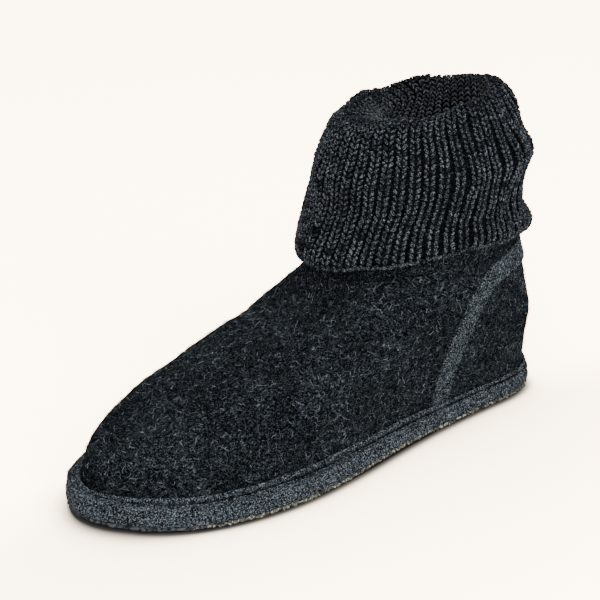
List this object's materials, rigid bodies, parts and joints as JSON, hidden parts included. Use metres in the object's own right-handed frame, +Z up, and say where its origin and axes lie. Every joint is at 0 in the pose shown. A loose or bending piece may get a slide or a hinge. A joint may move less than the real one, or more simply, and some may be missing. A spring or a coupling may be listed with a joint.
{
  "type": "felt hut slipper",
  "caption": "Left ankle-high hut slipper of boiled wool on a stitched felt sole with a thin latex tread, with a rib-knit cuff folded down round the ankle.",
  "frame": {"origin": "on the floor, under the middle of the slipper's bounding box", "axes": "+X from heel to toe, +Y to the outer (left) side of the foot, +Z up"},
  "size_m": [0.2844, 0.1046, 0.1723],
  "materials": {
    "latex": "matt crumb latex",
    "sole_felt": "blue-grey wool felt",
    "rand_felt": "blue-grey wool felt",
    "insole_felt": "grey wool felt",
    "boiled_wool": "charcoal boiled wool with pale fibres",
    "tape_felt": "blue-grey wool felt",
    "rib_knit": "heathered charcoal rib knit"
  },
  "bodies": {
    "root": {"outsole": "latex", "midsole": "sole_felt", "welt": "rand_felt", "insole": "insole_felt", "upper": "boiled_wool", "heel_tape": "tape_felt", "cuff": "rib_knit"}
  },
  "joints": []
}
